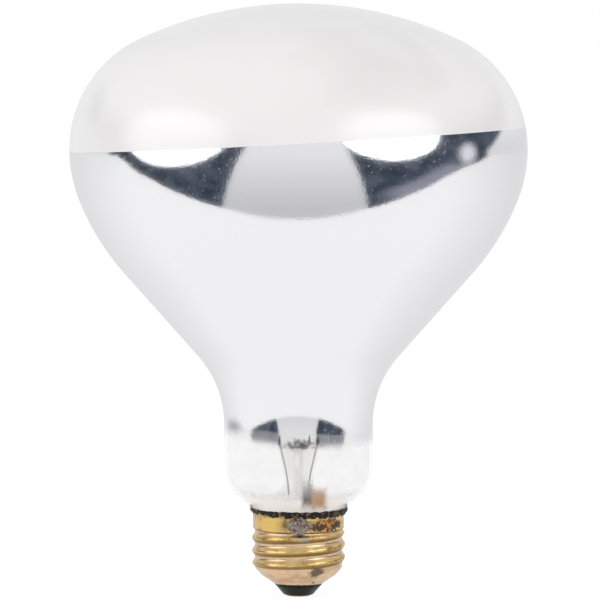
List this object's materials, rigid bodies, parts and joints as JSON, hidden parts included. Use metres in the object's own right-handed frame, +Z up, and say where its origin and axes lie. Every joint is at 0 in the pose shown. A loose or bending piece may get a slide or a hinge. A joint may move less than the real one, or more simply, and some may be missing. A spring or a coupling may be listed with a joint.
{
  "type": "infrared heat lamp bulb",
  "caption": "Infrared reflector lamp with a frosted face, a mirror-coated flank, a clear neck that shows its stem, and a burnt brass screw base.",
  "frame": {"origin": "centre of the flat at the tip of the centre contact", "axes": "+Z up along the lamp's axis from the contact to the face, -Y towards the front with the side solder joint"},
  "size_m": [0.127, 0.127, 0.1651],
  "materials": {
    "bulb_glass": "frosted on the face, clear on the flank and the neck",
    "mirror_film": "vapour-deposited aluminium mirror",
    "stem_glass": "clear",
    "lead_wire": "dull drawn wire",
    "filament_tungsten": "fine coil, dull",
    "support_wire": "dull drawn wire",
    "shell_brass": "satin, stained by heat and flame",
    "burnt_cement": "burnt black, rough",
    "black_glass": "black fused glass, glossy",
    "contact_brass": "satin",
    "solder": "dull grey, rough"
  },
  "bodies": {
    "root": {"glass_bulb": "bulb_glass", "reflector_coating": "mirror_film", "glass_stem": "stem_glass", "lead_wire_side": "lead_wire", "lead_wire_centre": "lead_wire", "filament": "filament_tungsten", "support_wire_1": "support_wire", "support_wire_2": "support_wire", "support_wire_3": "support_wire", "support_wire_4": "support_wire", "screw_shell": "shell_brass", "base_cement": "burnt_cement", "base_insulator": "black_glass", "centre_contact": "contact_brass", "centre_solder": "solder", "side_solder": "solder"}
  },
  "joints": []
}
